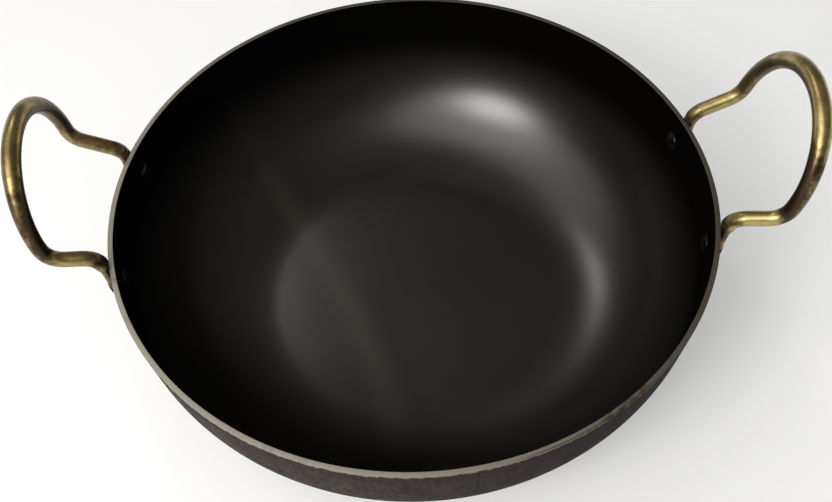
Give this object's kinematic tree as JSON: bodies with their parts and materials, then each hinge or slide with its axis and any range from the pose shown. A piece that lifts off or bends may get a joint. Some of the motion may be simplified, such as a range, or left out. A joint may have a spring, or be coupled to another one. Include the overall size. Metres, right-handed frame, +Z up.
{
  "type": "kadai",
  "caption": "Deep pressed-sheet cooking pan with a flat base, rounded sides, a bare rim and upright loop handles riveted to its wall.",
  "frame": {"origin": "centre of the underside of the flat base", "axes": "+Z up out of the mouth of the pan, +X towards the right handle, -Y towards the front"},
  "size_m": [0.3497, 0.285, 0.1452],
  "materials": {
    "pan": "satin black inside, bare sheared rim, dull drawn outside",
    "handle": "satin brass-coloured plating, stained at the bends",
    "rivet": "dark satin"
  },
  "bodies": {
    "root": {"pan_body": "pan", "left_handle": "handle", "right_handle": "handle", "left_front_rivet": "rivet", "left_rear_rivet": "rivet", "right_front_rivet": "rivet", "right_rear_rivet": "rivet"}
  },
  "joints": []
}
